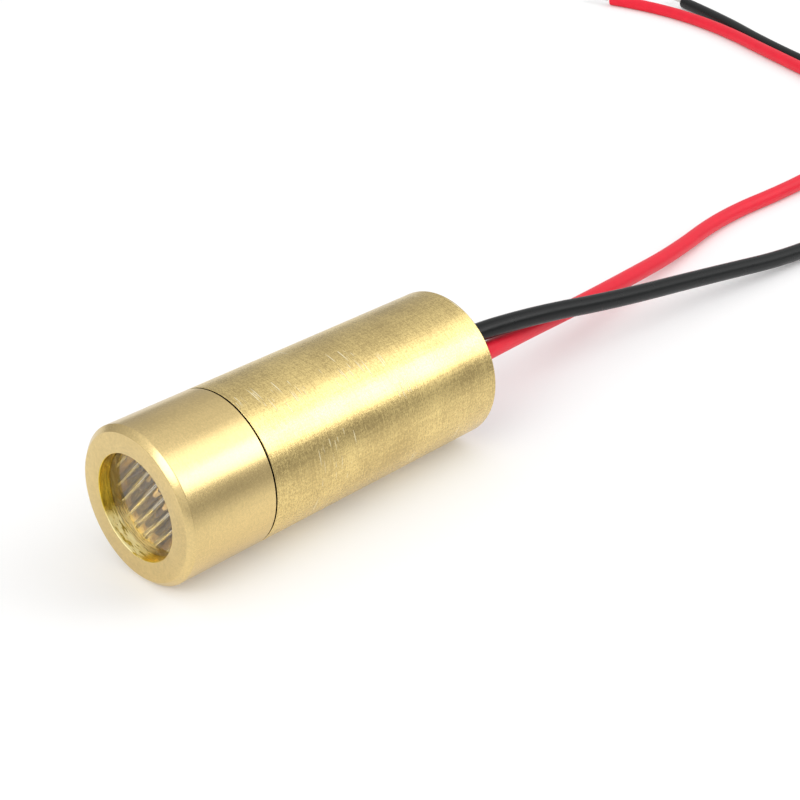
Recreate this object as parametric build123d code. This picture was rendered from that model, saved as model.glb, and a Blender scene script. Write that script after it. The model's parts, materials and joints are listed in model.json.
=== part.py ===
from build123d import *
from math import ceil, isclose, pi, radians, sqrt, tan
import os

# Brass laser line module lying on its side. The beam leaves towards -Y, the two wires
# leave towards +Y, and +Z is up. Sizes are millimetres and angles are degrees.
# Each piece is drawn about its own Z axis, at stations counted from the front face
# towards the wires, and the finished pieces are laid down together.

# Outer form
BODY_DIAMETER = 9.0
BODY_LENGTH = 23.0
CAP_LENGTH = 5.7
SEAM_GAP = 0.08
FRONT_CHAMFER = 0.33
REAR_CHAMFER = 0.15
SEAM_CHAMFER = 0.05

# Aperture and line lens in the nose cap
APERTURE_DIAMETER = 6.0
APERTURE_EDGE = 0.06
APERTURE_RECESS = 0.7
LINE_LENS_CLEARANCE = 0.02
LINE_LENS_PLATE = 1.1
RIDGE_PITCH = 0.78
RIDGE_HEIGHT = 0.2
RIDGE_ROLL = 43.0
CAP_WEB = 0.8
BEAM_HOLE_DIAMETER = 4.4

# Spigot of the barrel, which the cap is pressed on to
CAP_WALL = 0.9
SPIGOT_CLEARANCE = 0.01
SPIGOT_WALL = 0.8
SPIGOT_CHAMFER = 0.15

# Collimator cell, lens and spring
CELL_SETBACK = 0.4
CELL_LENGTH = 2.2
CELL_CLEARANCE = 0.02
CELL_WALL = 0.75
CELL_LIP = 0.5
CELL_LEDGE = 0.4
CELL_COUNTERSINK = 0.25
SPANNER_SLOT_WIDTH = 0.6
SPANNER_SLOT_DEPTH = 0.35
COLLIMATOR_CLEARANCE = 0.02
COLLIMATOR_EDGE = 1.0
COLLIMATOR_MARGIN = 0.05
COLLIMATOR_FRONT_RADIUS = 2.6
COLLIMATOR_REAR_RADIUS = 6.0
SPRING_LENGTH = 1.8
SPRING_WIRE = 0.35
SPRING_TURNS = 3.25
SPRING_CLEARANCE = 0.15

# Laser diode: header, can and what stands in it
DIODE_WEB = 2.5
HEADER_DIAMETER = 5.6
HEADER_THICKNESS = 1.2
HEADER_CLEARANCE = 0.02
HEADER_SEAT_LIP = 0.2
HEADER_VEE_DEPTH = 0.35
HEADER_NOTCH_WIDTH = 0.8
HEADER_NOTCH_DEPTH = 0.4
CAN_DIAMETER = 3.55
CAN_HEIGHT = 2.3
CAN_WALL = 0.15
CAN_CLEARANCE = 0.15
CAN_FLANGE_WIDTH = 0.4
CAN_FLANGE_THICKNESS = 0.2
WINDOW_HOLE_DIAMETER = 1.6
WINDOW_THICKNESS = 0.25
WINDOW_CLEARANCE = 0.1
EMITTER_HEIGHT = 1.35
STEM_CLEARANCE = 0.25
CHIP_WIDTH = 0.3
CHIP_LENGTH = 0.35
CHIP_THICKNESS = 0.1
MONITOR_WIDTH = 0.7
MONITOR_THICKNESS = 0.2
MONITOR_GAP = 0.15

# Diode leads
LEAD_CIRCLE = 2.0
LEAD_DIAMETER = 0.45
LEAD_POST_HEIGHT = 0.5
SEAL_WALL = 0.2
SEAL_CLEARANCE = 0.005
LEAD_LAP = 1.2

# Driver board, rolled about the axis with the leads and the wires
CHAMBER_WALL = 0.8
ELECTRONICS_ROLL = -125.6
BOARD_SETBACK = 0.6
LEAD_PAD_LENGTH = 1.5
COMPONENT_ZONE = 3.7
WIRE_PAD_LENGTH = 1.5
BOARD_EDGE_CLEARANCE = 0.4
BOARD_LEAD_CLEARANCE = 0.025
TRANSISTOR_BODY = (2.9, 1.3, 0.9)
TRANSISTOR_STANDOFF = 0.08
TRANSISTOR_SPAN = 2.4
TRANSISTOR_LEAD_PITCH = 0.95
TRANSISTOR_LEAD_WIDTH = 0.4
TRANSISTOR_LEAD_THICKNESS = 0.13
TRANSISTOR_FOOT = 0.3
RESISTOR_SIZE = (1.6, 0.8, 0.45)
CAPACITOR_SIZE = (1.6, 0.8, 0.8)
CHIP_TERMINAL_SHARE = 0.2
CHIP_TERMINAL_PROUD = 0.02
CHIP_GAP = 0.5
CHIP_EDGE_GAP = 0.2

# Solder, potting and wires
SOLDER_CLEARANCE = 0.005
SOLDER_LENGTH = 1.0
SOLDER_FILLET = 0.3
SOLDER_COVER = 0.15
SOLDER_SLOPE = 20.0
SOLDER_ROUNDING = 0.12
POTTING_RECESS = 0.4
POTTING_DISH = 0.15
POTTING_CLEARANCE = 0.01
WIRE_DIAMETER = 1.2
WIRE_SPACING = 1.52
WIRE_SHIFT = 0.115
WIRE_LEAD_OUT = 2.0
CORE_DIAMETER = 0.4
CORE_BOARD_CLEARANCE = 0.03
STUB_LENGTH = 1.3
TIP_LENGTH = 3.0
TIP_CHAMFER = 0.06
BEND_SHARE = 0.45

# Diameters that follow from the walls and the clearances
socket_diameter = BODY_DIAMETER - 2 * CAP_WALL
spigot_diameter = socket_diameter - 2 * SPIGOT_CLEARANCE
cell_bore = spigot_diameter - 2 * SPIGOT_WALL
cell_diameter = cell_bore - 2 * CELL_CLEARANCE
cell_pocket = cell_diameter - 2 * CELL_WALL
collimator_diameter = cell_pocket - 2 * COLLIMATOR_CLEARANCE
cell_aperture = collimator_diameter - 2 * CELL_LEDGE
spring_diameter = cell_bore - 2 * SPRING_CLEARANCE
line_lens_diameter = APERTURE_DIAMETER - 2 * LINE_LENS_CLEARANCE
can_inside = CAN_DIAMETER - 2 * CAN_WALL
can_flange = CAN_DIAMETER + 2 * CAN_FLANGE_WIDTH
seal_diameter = LEAD_DIAMETER + 2 * SEAL_WALL
chamber_diameter = BODY_DIAMETER - 2 * CHAMBER_WALL

# Stations along the axis, front to back; the potting fills what is left behind the board
line_lens_rear = APERTURE_RECESS + LINE_LENS_PLATE + RIDGE_HEIGHT
cap_web_rear = line_lens_rear + CAP_WEB
cell_front = cap_web_rear + CELL_SETBACK
cell_rear = cell_front + CELL_LENGTH
diode_web_front = cell_rear + SPRING_LENGTH
header_front = diode_web_front + DIODE_WEB
header_rear = header_front + HEADER_THICKNESS
header_seat_rear = header_rear + HEADER_SEAT_LIP
board_front = header_rear + BOARD_SETBACK
lead_end = board_front + LEAD_LAP
zone_front = board_front + LEAD_PAD_LENGTH
zone_rear = zone_front + COMPONENT_ZONE
board_rear = zone_rear + WIRE_PAD_LENGTH
potting_rear = BODY_LENGTH - POTTING_RECESS
barrel_front = CAP_LENGTH + SEAM_GAP

# The board slides between the two rows of leads, with one row on the axis
lead_radius = LEAD_CIRCLE / 2
board_thickness = lead_radius - LEAD_DIAMETER - 2 * BOARD_LEAD_CLEARANCE
board_upper = -LEAD_DIAMETER / 2 - BOARD_LEAD_CLEARANCE
board_lower = board_upper - board_thickness
board_half_width = sqrt((chamber_diameter / 2) ** 2 - board_lower**2) - BOARD_EDGE_CLEARANCE
lead_places = ((-lead_radius, 0), (lead_radius, 0), (0, -lead_radius))
core_offset = board_upper + CORE_BOARD_CLEARANCE + CORE_DIAMETER / 2
black_place = (WIRE_SHIFT + WIRE_SPACING / 2, core_offset)
red_place = (WIRE_SHIFT - WIRE_SPACING / 2, core_offset)

# How the module lies: axis along Y, resting on its side, centred on the origin
LYING = Location(
    Plane(origin=(0, -BODY_LENGTH / 2, BODY_DIAMETER / 2), x_dir=(1, 0, 0), z_dir=(0, 1, 0))
)
ROLLED = Rot(0, 0, ELECTRONICS_ROLL)
FLOOR_LINE = WIRE_DIAMETER / 2


def rod(diameter, start, end, place=(0, 0)):
    """A round bar between two stations, on the axis or at a place beside it."""
    bar = Cylinder(diameter / 2, end - start, align=(Align.CENTER, Align.CENTER, Align.MIN))
    return Pos(*place, start) * bar


def block(width, depth, start, end, place=(0, 0)):
    """A rectangular bar between two stations, centred on a place."""
    bar = Box(width, depth, end - start, align=(Align.CENTER, Align.CENTER, Align.MIN))
    return Pos(*place, start) * bar


def rim(piece, diameter, station):
    """The circular edges of a diameter at a station."""
    circles = piece.edges().filter_by(GeomType.CIRCLE)
    return [
        edge
        for edge in circles
        if isclose(2 * edge.radius, diameter, abs_tol=1e-6)
        and isclose(edge.arc_center.Z, station, abs_tol=1e-6)
    ]


def nose_cap():
    """Cap with the aperture and lens seat in front and a socket for the spigot behind."""
    cap = rod(BODY_DIAMETER, 0, CAP_LENGTH)
    cap -= rod(APERTURE_DIAMETER, 0, line_lens_rear)
    cap -= rod(BEAM_HOLE_DIAMETER, line_lens_rear, cap_web_rear)
    cap -= rod(socket_diameter, cap_web_rear, CAP_LENGTH)
    cap = chamfer(rim(cap, BODY_DIAMETER, 0), FRONT_CHAMFER)
    cap = chamfer(rim(cap, APERTURE_DIAMETER, 0), APERTURE_EDGE)
    return chamfer(rim(cap, BODY_DIAMETER, CAP_LENGTH), SEAM_CHAMFER)


def line_lens():
    """Disc with a flat front and cylindrical ridges across its rear, one of them on the axis."""
    plate_rear = line_lens_rear - RIDGE_HEIGHT
    count = 1 + 2 * ceil((line_lens_diameter / RIDGE_PITCH - 1) / 2)
    edge = count * RIDGE_PITCH / 2
    outline = Curve() + Polyline(
        (-edge, plate_rear),
        (-edge, APERTURE_RECESS),
        (edge, APERTURE_RECESS),
        (edge, plate_rear),
    )
    for number in range(count):
        valley = -edge + number * RIDGE_PITCH
        outline += ThreePointArc(
            (valley, plate_rear),
            (valley + RIDGE_PITCH / 2, line_lens_rear),
            (valley + RIDGE_PITCH, plate_rear),
        )
    bar = extrude(Plane.XZ * make_face(outline.edges()), edge, both=True)
    return (Rot(0, 0, RIDGE_ROLL) * bar) & rod(line_lens_diameter, APERTURE_RECESS, line_lens_rear)


def barrel():
    """Body with the spigot, the cell bore, the diode seat and the rear chamber."""
    body = rod(spigot_diameter, cap_web_rear, barrel_front)
    body += rod(BODY_DIAMETER, barrel_front, BODY_LENGTH)
    body -= rod(cell_bore, cap_web_rear, diode_web_front)
    body -= rod(CAN_DIAMETER + 2 * CAN_CLEARANCE, diode_web_front, header_front)
    relief_front = header_front - CAN_FLANGE_THICKNESS - CAN_CLEARANCE
    body -= rod(can_flange + 2 * CAN_CLEARANCE, relief_front, header_front)
    body -= rod(HEADER_DIAMETER + 2 * HEADER_CLEARANCE, header_front, header_seat_rear)
    body -= rod(chamber_diameter, header_seat_rear, BODY_LENGTH)
    body = chamfer(rim(body, spigot_diameter, cap_web_rear), SPIGOT_CHAMFER)
    body = chamfer(rim(body, BODY_DIAMETER, barrel_front), SEAM_CHAMFER)
    rear_rims = rim(body, BODY_DIAMETER, BODY_LENGTH) + rim(body, chamber_diameter, BODY_LENGTH)
    return chamfer(rear_rims, REAR_CHAMFER)


def lens_cell():
    """Cell with a countersunk lip in front, a lens pocket behind and a spanner slot."""
    lip_rear = cell_front + CELL_LIP
    cell = rod(cell_diameter, cell_front, cell_rear)
    cell -= rod(cell_aperture, cell_front, lip_rear)
    cell -= rod(cell_pocket, lip_rear, cell_rear)
    cell = chamfer(rim(cell, cell_aperture, cell_front), CELL_COUNTERSINK)
    slot_rear = cell_front + SPANNER_SLOT_DEPTH
    return cell - block(cell_diameter, SPANNER_SLOT_WIDTH, cell_front, slot_rear)


def collimator_lens():
    """Biconvex lens with a flat flange that bears on the cell's lip."""
    flange = collimator_diameter / 2
    optic = cell_aperture / 2 - COLLIMATOR_MARGIN
    front = cell_front + CELL_LIP
    rear = front + COLLIMATOR_EDGE
    front_sag = COLLIMATOR_FRONT_RADIUS - sqrt(COLLIMATOR_FRONT_RADIUS**2 - optic**2)
    rear_sag = COLLIMATOR_REAR_RADIUS - sqrt(COLLIMATOR_REAR_RADIUS**2 - optic**2)
    outline = Curve() + [
        RadiusArc((optic, front), (0, front - front_sag), COLLIMATOR_FRONT_RADIUS),
        Line((0, front - front_sag), (0, rear + rear_sag)),
        RadiusArc((0, rear + rear_sag), (optic, rear), COLLIMATOR_REAR_RADIUS),
        Polyline((optic, rear), (flange, rear), (flange, front), (optic, front)),
    ]
    return revolve(Plane.XZ * make_face(outline.edges()), Axis.Z)


def focus_spring():
    """Compression spring between the cell and the web in front of the diode."""
    height = SPRING_LENGTH - SPRING_WIRE
    coil = Helix(
        pitch=height / SPRING_TURNS,
        height=height,
        radius=(spring_diameter - SPRING_WIRE) / 2,
        center=(0, 0, cell_rear + SPRING_WIRE / 2),
    )
    section = Plane(origin=coil @ 0, z_dir=coil % 0) * Circle(SPRING_WIRE / 2)
    return sweep(section, path=coil, is_frenet=True)


def diode_header():
    """Header disc with two vee notches, an index notch and the holes for two seals."""
    header = rod(HEADER_DIAMETER, header_front, header_rear)
    rim_radius = HEADER_DIAMETER / 2
    vee_side = sqrt(2) * HEADER_VEE_DEPTH
    for side in (-1, 1):
        vee = Rot(0, 0, 45) * block(vee_side, vee_side, header_front, header_rear)
        header -= Pos(side * rim_radius, 0) * vee
    notch_place = (0, rim_radius)
    header -= block(
        HEADER_NOTCH_WIDTH, 2 * HEADER_NOTCH_DEPTH, header_front, header_rear, notch_place
    )
    for place in lead_places[:2]:
        header -= rod(seal_diameter, header_front, header_rear, place)
    return ROLLED * header


def diode_can():
    """Drawn can with a flange on the header and a window hole in its front."""
    front = header_front - CAN_HEIGHT
    can = rod(CAN_DIAMETER, front, header_front)
    can += rod(can_flange, header_front - CAN_FLANGE_THICKNESS, header_front)
    can -= rod(can_inside, front + CAN_WALL, header_front)
    can -= rod(WINDOW_HOLE_DIAMETER, front, front + CAN_WALL)
    return fillet(rim(can, CAN_DIAMETER, front), CAN_WALL)


def diode_window():
    """Glass disc against the inside of the can's front."""
    front = header_front - CAN_HEIGHT + CAN_WALL
    return rod(can_inside - 2 * WINDOW_CLEARANCE, front, front + WINDOW_THICKNESS)


def diode_stem():
    """Heat sink block on the header, between the two lead posts."""
    width = LEAD_CIRCLE - LEAD_DIAMETER - 2 * STEM_CLEARANCE
    reach = sqrt((can_inside / 2) ** 2 - (width / 2) ** 2) - STEM_CLEARANCE
    middle = (CHIP_THICKNESS + reach) / 2
    front = header_front - EMITTER_HEIGHT
    return ROLLED * block(width, reach - CHIP_THICKNESS, front, header_front, (0, middle))


def laser_chip():
    """Emitter on the inner face of the block, with its front facet level with the block."""
    front = header_front - EMITTER_HEIGHT
    place = (0, CHIP_THICKNESS / 2)
    return ROLLED * block(CHIP_WIDTH, CHIP_THICKNESS, front, front + CHIP_LENGTH, place)


def monitor_photodiode():
    """Square chip on the header, behind the emitter."""
    place = (0, -MONITOR_GAP - MONITOR_WIDTH / 2)
    front = header_front - MONITOR_THICKNESS
    return ROLLED * block(MONITOR_WIDTH, MONITOR_WIDTH, front, header_front, place)


def diode_leads():
    """Two leads through the header and a third butted to its rear face."""
    post_front = header_front - LEAD_POST_HEIGHT
    starts = (post_front, post_front, header_rear)
    return [
        ROLLED * rod(LEAD_DIAMETER, start, lead_end, place)
        for start, place in zip(starts, lead_places)
    ]


def lead_seals():
    """Glass beads between the header and its two insulated leads."""
    outside = seal_diameter - 2 * SEAL_CLEARANCE
    inside = LEAD_DIAMETER + 2 * SEAL_CLEARANCE
    return [
        ROLLED
        * (
            rod(outside, header_front, header_rear, place)
            - rod(inside, header_front, header_rear, place)
        )
        for place in lead_places[:2]
    ]


def on_board(piece, across, station, upper):
    """Seats a piece drawn face down on XY: X across the board, Y along it, Z off its face."""
    off_face = (0, 1, 0) if upper else (0, -1, 0)
    face = board_upper if upper else board_lower
    seat = Plane(origin=(across, face, station), x_dir=(1, 0, 0), z_dir=off_face)
    return ROLLED * (Location(seat) * piece)


def driver_board():
    """Plain board whose front edge slides between the rows of leads."""
    middle = (0, (board_upper + board_lower) / 2)
    return ROLLED * block(2 * board_half_width, board_thickness, board_front, board_rear, middle)


def transistor():
    """Moulded three-lead transistor standing on its formed leads."""
    width, length, height = TRANSISTOR_BODY
    body = Pos(0, 0, TRANSISTOR_STANDOFF) * Box(
        width, length, height, align=(Align.CENTER, Align.CENTER, Align.MIN)
    )
    foot_level = TRANSISTOR_LEAD_THICKNESS / 2
    root_level = TRANSISTOR_STANDOFF + height / 2
    foot_end = TRANSISTOR_SPAN / 2 - foot_level
    heel = foot_end - TRANSISTOR_FOOT
    form = Polyline((0, root_level), (heel, root_level), (heel, foot_level), (foot_end, foot_level))
    strip = trace(form, line_width=TRANSISTOR_LEAD_THICKNESS)
    lead = extrude(Plane.YZ * strip, TRANSISTOR_LEAD_WIDTH / 2, both=True)
    body += Pos(-TRANSISTOR_LEAD_PITCH, 0, 0) * lead
    body += Pos(TRANSISTOR_LEAD_PITCH, 0, 0) * lead
    return body + Rot(0, 0, 180) * lead


def driver_transistors():
    """One transistor on each face, across the board."""
    station = zone_front + TRANSISTOR_SPAN / 2
    return [on_board(transistor(), 0, station, upper) for upper in (True, False)]


def chip(size):
    """Chip component with metallised ends that stand slightly proud."""
    width, length, height = size
    low = (Align.CENTER, Align.CENTER, Align.MIN)
    middle = Pos(0, 0, CHIP_TERMINAL_PROUD) * Box(width, length, height, align=low)
    end_width = CHIP_TERMINAL_SHARE * width
    proud = 2 * CHIP_TERMINAL_PROUD
    for side in (-1, 1):
        end = Box(end_width, length + proud, height + proud, align=low)
        middle += Pos(side * (width - end_width) / 2, 0, 0) * end
    return middle


def chip_resistors():
    """Two resistors on the upper face and one beside the capacitor on the lower."""
    width, length, _ = RESISTOR_SIZE
    station = zone_rear - CHIP_EDGE_GAP - length / 2
    across = (width + CHIP_GAP) / 2
    return [
        on_board(chip(RESISTOR_SIZE), -across, station, True),
        on_board(chip(RESISTOR_SIZE), across, station, True),
        on_board(chip(RESISTOR_SIZE), across, station, False),
    ]


def chip_capacitor():
    """Ceramic capacitor on the lower face."""
    width, length, _ = CAPACITOR_SIZE
    station = zone_rear - CHIP_EDGE_GAP - length / 2
    return on_board(chip(CAPACITOR_SIZE), -(width + CHIP_GAP) / 2, station, False)


def bead(diameter, height):
    """Mound of solder on XY over a round lead that lies along Y."""
    foot = Rectangle(diameter + 2 * SOLDER_FILLET, SOLDER_LENGTH)
    mound = extrude(foot, height, taper=SOLDER_SLOPE)
    base_edges = mound.edges().group_by(Axis.Z)[0]
    return fillet([edge for edge in mound.edges() if edge not in base_edges], SOLDER_ROUNDING)


def solder_joints():
    """Solder over the three leads and the two stripped wires."""
    lead_cut = LEAD_DIAMETER + 2 * SOLDER_CLEARANCE
    core_cut = CORE_DIAMETER + 2 * SOLDER_CLEARANCE
    lead_bead = bead(LEAD_DIAMETER, BOARD_LEAD_CLEARANCE + LEAD_DIAMETER + SOLDER_COVER)
    core_bead = bead(CORE_DIAMETER, CORE_BOARD_CLEARANCE + CORE_DIAMETER + SOLDER_COVER)
    lead_station = (board_front + lead_end) / 2
    core_station = board_rear - STUB_LENGTH / 2
    joints = []
    for place, upper in zip(lead_places, (True, True, False)):
        joint = on_board(lead_bead, place[0], lead_station, upper)
        joints.append(joint - ROLLED * rod(lead_cut, board_front, lead_end, place))
    for place in (red_place, black_place):
        joint = on_board(core_bead, place[0], core_station, True)
        joints.append(joint - ROLLED * rod(core_cut, board_rear - STUB_LENGTH, board_rear, place))
    return joints


def rear_potting():
    """Epoxy plug behind the board, dished by its meniscus, with the two wires through it."""
    radius = chamber_diameter / 2 - POTTING_CLEARANCE
    dish_radius = (radius**2 + POTTING_DISH**2) / (2 * POTTING_DISH)
    dish_middle = potting_rear - POTTING_DISH + dish_radius
    plug = rod(2 * radius, board_rear, potting_rear) - Pos(0, 0, dish_middle) * Sphere(dish_radius)
    hole = WIRE_DIAMETER + 2 * POTTING_CLEARANCE
    for place in (red_place, black_place):
        plug -= ROLLED * rod(hole, board_rear, potting_rear, place)
    return plug


def wire_stub(place):
    """Stripped end of a wire on its solder pad."""
    return ROLLED * rod(CORE_DIAMETER, board_rear - STUB_LENGTH, board_rear, place)


def lying_point(place, station):
    """Where a place beside the axis lies once the module is on its side."""
    return (LYING * ROLLED * Pos(*place, station)).position


def wire_route(place, *onward):
    """A wire's points: straight out of the potting, then the chosen points of its lie."""
    start = lying_point(place, board_rear)
    leads_out = lying_point(place, BODY_LENGTH + WIRE_LEAD_OUT)
    return [start, leads_out, *(Vector(*point) for point in onward)]


def wire_tube(name, route):
    """Insulated wire along a route, with each bend as large as its two runs allow."""
    runs = [after - before for before, after in zip(route, route[1:])]
    radii = [
        BEND_SHARE * min(one.length, two.length) / tan(radians(one.get_angle(two)) / 2)
        for one, two in zip(runs, runs[1:])
    ]
    path = FilletPolyline(*route, radius=radii)
    tube = sweep(Plane(origin=path @ 0, z_dir=path % 0) * Circle(WIRE_DIAMETER / 2), path=path)
    share = tube.volume / (pi * WIRE_DIAMETER**2 / 4 * path.length)
    print(name, "length", round(path.length, 1), "volume over section times length", round(share, 4))
    print(name, "radii", [round(radius) for radius in radii])
    return tube


def wire_tip(route):
    """Stripped and tinned outer end of a wire, in line with its last run."""
    plane = Plane(origin=route[-1], z_dir=route[-1] - route[-2])
    tip = chamfer(rim(rod(CORE_DIAMETER, 0, TIP_LENGTH), CORE_DIAMETER, TIP_LENGTH), TIP_CHAMFER)
    return Location(plane) * tip


# Points of each wire from where it hangs free to where it ends on the floor
black_route = wire_route(
    black_place,
    (-0.14, 20.4, 4.57),
    (0.49, 28.0, 3.31),
    (0.94, 37.6, 2.03),
    (2.05, 49.36, FLOOR_LINE),
    (2.02, 62.01, FLOOR_LINE),
    (-1.8, 74.0, FLOOR_LINE),
    (-9.28, 83.54, FLOOR_LINE),
    (-19.27, 89.51, FLOOR_LINE),
    (-30.65, 94.46, FLOOR_LINE),
    (-39.66, 99.45, FLOOR_LINE),
    (-46.57, 102.28, FLOOR_LINE),
)
red_route = wire_route(
    red_place,
    (-1.04, 20.4, 3.05),
    (-2.1, 27.2, 2.25),
    (-3.37, 34.4, 1.51),
    (-4.65, 42.0, 0.83),
    (-6.53, 51.0, FLOOR_LINE),
    (-6.05, 60.49, FLOOR_LINE),
    (-6.65, 70.0, FLOOR_LINE),
    (-11.0, 79.4, FLOOR_LINE),
    (-18.37, 87.5, FLOOR_LINE),
    (-28.12, 91.85, FLOOR_LINE),
    (-37.98, 96.47, FLOOR_LINE),
    (-47.67, 98.49, FLOOR_LINE),
    (-53.3, 97.62, FLOOR_LINE),
)

module_pieces = {
    "nose_cap": nose_cap(),
    "line_lens": line_lens(),
    "barrel": barrel(),
    "lens_cell": lens_cell(),
    "collimator_lens": collimator_lens(),
    "focus_spring": focus_spring(),
    "diode_header": diode_header(),
    "diode_can": diode_can(),
    "diode_window": diode_window(),
    "diode_stem": diode_stem(),
    "laser_chip": laser_chip(),
    "monitor_photodiode": monitor_photodiode(),
    "diode_leads": Compound(diode_leads()),
    "lead_seals": Compound(lead_seals()),
    "driver_board": driver_board(),
    "driver_transistors": Compound(driver_transistors()),
    "chip_resistors": Compound(chip_resistors()),
    "chip_capacitor": chip_capacitor(),
    "solder_joints": Compound(solder_joints()),
    "rear_potting": rear_potting(),
    "red_wire_stub": wire_stub(red_place),
    "black_wire_stub": wire_stub(black_place),
}
wire_pieces = {
    "red_wire": wire_tube("red_wire", red_route),
    "black_wire": wire_tube("black_wire", black_route),
    "red_wire_tip": wire_tip(red_route),
    "black_wire_tip": wire_tip(black_route),
}

os.makedirs("parts", exist_ok=True)
for name, piece in module_pieces.items():
    export_step(LYING * piece, f"parts/{name}.step")
for name, piece in wire_pieces.items():
    export_step(piece, f"parts/{name}.step")
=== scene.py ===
import json
from math import asin, ceil, cos, exp, pi, radians, sin, tau

import bmesh
import bpy
from bpy.props import FloatProperty, FloatVectorProperty, IntProperty, PointerProperty
from mathutils import Matrix, Vector


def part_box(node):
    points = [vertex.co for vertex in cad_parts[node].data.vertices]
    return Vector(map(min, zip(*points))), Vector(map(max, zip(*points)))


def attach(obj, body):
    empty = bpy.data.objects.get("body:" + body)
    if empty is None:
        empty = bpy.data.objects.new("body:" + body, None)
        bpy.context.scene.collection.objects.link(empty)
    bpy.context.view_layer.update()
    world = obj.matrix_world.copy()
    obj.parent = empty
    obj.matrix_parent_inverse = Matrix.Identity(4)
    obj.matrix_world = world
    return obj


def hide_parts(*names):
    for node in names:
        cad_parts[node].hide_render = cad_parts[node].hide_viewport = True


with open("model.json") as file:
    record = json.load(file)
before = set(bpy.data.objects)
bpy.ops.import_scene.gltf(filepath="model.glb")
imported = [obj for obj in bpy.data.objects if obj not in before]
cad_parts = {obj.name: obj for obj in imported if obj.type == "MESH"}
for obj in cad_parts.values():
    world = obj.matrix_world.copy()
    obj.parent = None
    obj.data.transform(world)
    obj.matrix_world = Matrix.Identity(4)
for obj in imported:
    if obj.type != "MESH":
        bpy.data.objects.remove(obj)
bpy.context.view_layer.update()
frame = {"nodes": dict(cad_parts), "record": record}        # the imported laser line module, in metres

bl_info = {
    "name": "Laser Line Module",
    "version": (1, 0, 0),
    "blender": (4, 5, 0),
    "location": "View3D > Sidebar > Laser Module",
    "description": "Dresses a brass laser line module: turned brass, ridged lens, potting and wires",
    "category": "Object",
}

MM = 0.001
BODY = "root"

# Places taken from the frame: the module's axis runs along Y at the height of its radius
mount_sizes = {mount["name"]: mount["dims"] for mount in frame["record"]["mounts"]}
BODY_RADIUS = mount_sizes["barrel_outside"]["r_mm"] * MM
AXIS_POINT = Vector((0, 0, BODY_RADIUS))
FRONT, CAP_REAR = (corner.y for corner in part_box("nose_cap"))
SPIGOT_FRONT, REAR = (corner.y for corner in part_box("barrel"))
LENS_FRONT, LENS_REAR = (corner.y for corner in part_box("line_lens"))
SPRING_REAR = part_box("focus_spring")[1].y
HEADER_FRONT, HEADER_REAR = (corner.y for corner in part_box("diode_header"))
POTTING_FRONT, POTTING_REAR = (corner.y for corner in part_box("rear_potting"))

# How finely round things are divided, and how meshes are closed
TURN_STEPS = 256
RIDGE_STEPS = 20
LENS_CUTS = 120
POTTING_STEPS = 128
POTTING_RINGS = 60
WIRE_STEPS = 16
WIRE_BEVEL_STEPS = 8
STRAND_STEPS = 48
STRAND_SIDES = 12
FLOOR_SIDES = 96
MERGE_DISTANCE = 1e-8
SAME_PLACE = 1e-6
SHARP_ANGLE = radians(40)

# Segments across a bevel
CHAMFERED = 1
EASED = 2
ROUNDED = 3

# Scales of the noise in the finishes, in features a metre along X, Y and Z
RINGS = (160, 9000, 160)
HAIRLINES = (800, 24000, 800)
FINE_GRAIN = (7500, 9000, 7500)
DRAW_LINES = (9000, 220, 9000)
BRASS_CLOUD = (260, 190, 260)
BORE_STREAKS = (1300, 9000, 1300)
SCRATCH_CELLS = (750, 15000, 750)
PLATING_CLOUD = (500, 500, 500)
MOULDED_CLOUD = (420, 420, 420)
OPTIC_SMEARS = (900, 900, 900)
PVC_SKIN = (5200, 5200, 5200)
PVC_MARKS = (750, 750, 750)
EPOXY_BUBBLES = (1300, 1300, 1300)
EPOXY_BLOOM = (1100, 1100, 1100)

# Turned brass at a contrast of 1: how far its tone and roughness go, and the depth of its texture
BRASS_TONE = 0.17
BRASS_ROUGHNESS = 0.22
BRASS_DEPTH = 0.0038 * MM

# Share of the scratches that show everywhere, and how many more show in the middle of a worn place
SCRATCHED_ANYWHERE = 0.003
SCRATCHED_WHERE_WORN = 0.3

# Round the lens: the side of the bore painted lighter as painted light, and the share of the bore's radius
# that is web
LOW_LEFT = Vector((-0.50, 0.0, -0.87))
WEB_SHARE = 0.96

# Linear colours on the brass: a painted glint on scratches, painted shade in the seam and behind the lens,
# painted light low in the bore, and plain white
# The scratches are real wear; this lighter colour on them is a painted glint of their grooves catching the
# light
SCRATCH_PAINTED_GLINT = (1.0, 0.90, 0.62)
# Painted shade: a dark colour painted in the seam between the cap and the barrel, and over the edges of
# its chamfers
SEAM_PAINTED_SHADE = (0.05, 0.035, 0.015)
# Painted shade: the bore behind the front of the lens, darkened deep in the recess
BORE_PAINTED_SHADE = (0.37, 0.24, 0.025)
# Painted light: a pale colour on streaks low on the left of the bore, where it faces the light
BORE_PAINTED_LIGHT = (1.0, 0.89, 0.46)
WHITE = (1.0, 1.0, 1.0)

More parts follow.
